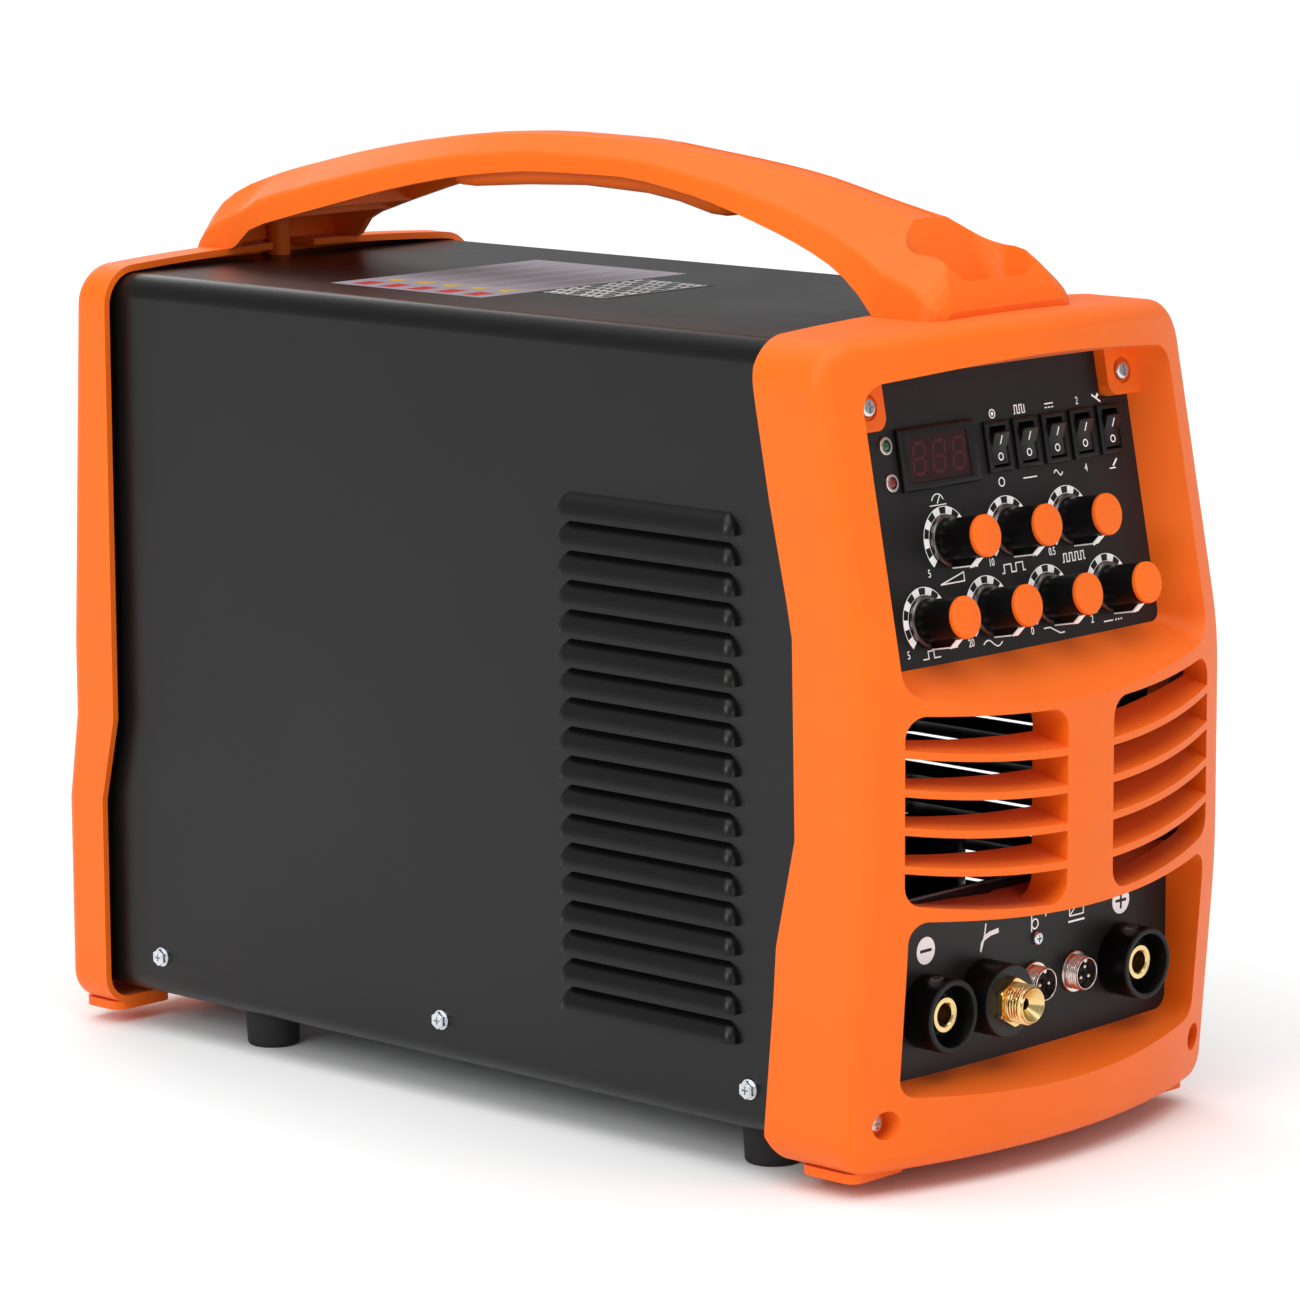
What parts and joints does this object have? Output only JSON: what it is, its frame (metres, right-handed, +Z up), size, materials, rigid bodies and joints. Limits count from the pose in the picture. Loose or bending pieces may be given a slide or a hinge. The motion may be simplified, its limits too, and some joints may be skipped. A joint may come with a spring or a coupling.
{
  "type": "tig welding machine",
  "caption": "Portable inverter welding machine: charcoal sheet case with louvred sides, orange moulded front, rear and arched handle, knobs, rockers and torch sockets.",
  "frame": {"origin": "centre of the bounding box on the floor under the feet", "axes": "+Z up, the front with its controls faces -Y, +X is the right-hand side seen from the front"},
  "size_m": [0.232, 0.5038, 0.4105],
  "materials": {
    "orange_moulding": "fine moulded texture, soft sheen",
    "knob_cap_orange": "smooth",
    "black_gloss_plastic": "polished black",
    "black_plastic": "satin black",
    "dark_powder_coat": "matt charcoal powder coat",
    "zinc_sheet": "zinc-coated sheet",
    "brass": "turned",
    "bright_plating": "nickel-plated",
    "zinc_steel": "zinc-plated",
    "black_rubber": "matt rubber",
    "red_window": "dark red filter",
    "green_lens": "clear tinted lens",
    "red_lens": "clear tinted lens",
    "board_laminate": "solder-masked laminate",
    "black_aluminium": "extruded",
    "core_and_winding": "varnished core and winding",
    "capacitor_sleeve": "shrink sleeve",
    "control_steel": "pressed steel cans and shafts"
  },
  "bodies": {
    "machine": {"base_pan": "zinc_sheet", "body_cover": "dark_powder_coat", "cable_gland": "black_plastic", "capacitors": "capacitor_sleeve", "case_screws": "zinc_steel", "circuit_boards": "board_laminate", "connector_inserts": "black_gloss_plastic", "connector_panel": "dark_powder_coat", "connector_pins": "bright_plating", "control_panel": "dark_powder_coat", "cover_screws": "zinc_steel", "earth_fasteners": "zinc_steel", "fan_frame": "black_plastic", "fan_guard": "zinc_steel", "feet": "black_rubber", "front_bezel": "orange_moulding", "front_plate": "zinc_sheet", "gas_inlet": "brass", "gas_socket_base": "black_plastic", "gas_valve": "brass", "grip_insert": "orange_moulding", "handle": "orange_moulding", "heat_sinks": "black_aluminium", "indicator_bezels": "bright_plating", "indicator_green": "green_lens", "indicator_red": "red_lens", "mains_switch_housing": "black_plastic", "meter_bezel": "black_plastic", "meter_window": "red_window", "negative_socket": "black_gloss_plastic", "positive_socket": "black_gloss_plastic", "potentiometers": "control_steel", "rear_bezel": "orange_moulding", "rear_plate": "zinc_sheet", "rocker_housings": "black_plastic", "signal_connectors": "bright_plating", "socket_contacts": "brass", "torch_gas_fitting": "brass", "transformer": "core_and_winding"},
    "rocker_1": {"rocker_1": "black_plastic"},
    "rocker_2": {"rocker_2": "black_plastic"},
    "rocker_3": {"rocker_3": "black_plastic"},
    "rocker_4": {"rocker_4": "black_plastic"},
    "rocker_5": {"rocker_5": "black_plastic"},
    "knob_1": {"knob_1": "black_gloss_plastic", "knob_cap_1": "knob_cap_orange"},
    "knob_2": {"knob_2": "black_gloss_plastic", "knob_cap_2": "knob_cap_orange"},
    "knob_3": {"knob_3": "black_gloss_plastic", "knob_cap_3": "knob_cap_orange"},
    "knob_4": {"knob_4": "black_gloss_plastic", "knob_cap_4": "knob_cap_orange"},
    "knob_5": {"knob_5": "black_gloss_plastic", "knob_cap_5": "knob_cap_orange"},
    "knob_6": {"knob_6": "black_gloss_plastic", "knob_cap_6": "knob_cap_orange"},
    "knob_7": {"knob_7": "black_gloss_plastic", "knob_cap_7": "knob_cap_orange"},
    "fan_rotor": {"fan_rotor": "black_plastic"},
    "mains_switch_key": {"mains_switch_key": "black_plastic"}
  },
  "joints": [
    {"name": "rocker_1_tilt", "type": "hinge", "parent": "machine", "child": "rocker_1", "pos_m": [0.0002, -0.19899, 0.29365], "axis": [-1, 0, 0], "range_deg": [0, 24]},
    {"name": "rocker_2_tilt", "type": "hinge", "parent": "machine", "child": "rocker_2", "pos_m": [0.01862, -0.19899, 0.29365], "axis": [-1, 0, 0], "range_deg": [0, 24]},
    {"name": "rocker_3_tilt", "type": "hinge", "parent": "machine", "child": "rocker_3", "pos_m": [0.03704, -0.19899, 0.29365], "axis": [-1, 0, 0], "range_deg": [0, 24]},
    {"name": "rocker_4_tilt", "type": "hinge", "parent": "machine", "child": "rocker_4", "pos_m": [0.05546, -0.19899, 0.29365], "axis": [-1, 0, 0], "range_deg": [0, 24]},
    {"name": "rocker_5_tilt", "type": "hinge", "parent": "machine", "child": "rocker_5", "pos_m": [0.07388, -0.19899, 0.29365], "axis": [-1, 0, 0], "range_deg": [0, 24]},
    {"name": "knob_1_turn", "type": "hinge", "parent": "machine", "child": "knob_1", "pos_m": [-0.0392, -0.21489, 0.26181], "axis": [0, 0.9814, -0.1918], "range_deg": [0, 300]},
    {"name": "knob_2_turn", "type": "hinge", "parent": "machine", "child": "knob_2", "pos_m": [0, -0.21489, 0.26181], "axis": [0, 0.9814, -0.1918], "range_deg": [0, 300]},
    {"name": "knob_3_turn", "type": "hinge", "parent": "machine", "child": "knob_3", "pos_m": [0.0392, -0.21489, 0.26181], "axis": [0, 0.9814, -0.1918], "range_deg": [0, 300]},
    {"name": "knob_4_turn", "type": "hinge", "parent": "machine", "child": "knob_4", "pos_m": [-0.0588, -0.2208, 0.23158], "axis": [0, 0.9814, -0.1918], "range_deg": [0, 300]},
    {"name": "knob_5_turn", "type": "hinge", "parent": "machine", "child": "knob_5", "pos_m": [-0.0196, -0.2208, 0.23158], "axis": [0, 0.9814, -0.1918], "range_deg": [0, 300]},
    {"name": "knob_6_turn", "type": "hinge", "parent": "machine", "child": "knob_6", "pos_m": [0.0196, -0.2208, 0.23158], "axis": [0, 0.9814, -0.1918], "range_deg": [0, 300]},
    {"name": "knob_7_turn", "type": "hinge", "parent": "machine", "child": "knob_7", "pos_m": [0.0588, -0.2208, 0.23158], "axis": [0, 0.9814, -0.1918], "range_deg": [0, 300]},
    {"name": "fan_spin", "type": "hinge", "parent": "machine", "child": "fan_rotor", "pos_m": [0, 0.2165, 0.15], "axis": [0, 1, 0], "continuous": true},
    {"name": "mains_switch_tilt", "type": "hinge", "parent": "machine", "child": "mains_switch_key", "pos_m": [-0.057, 0.2284, 0.28], "axis": [0, 0, 1], "range_deg": [0, 22]}
  ]
}
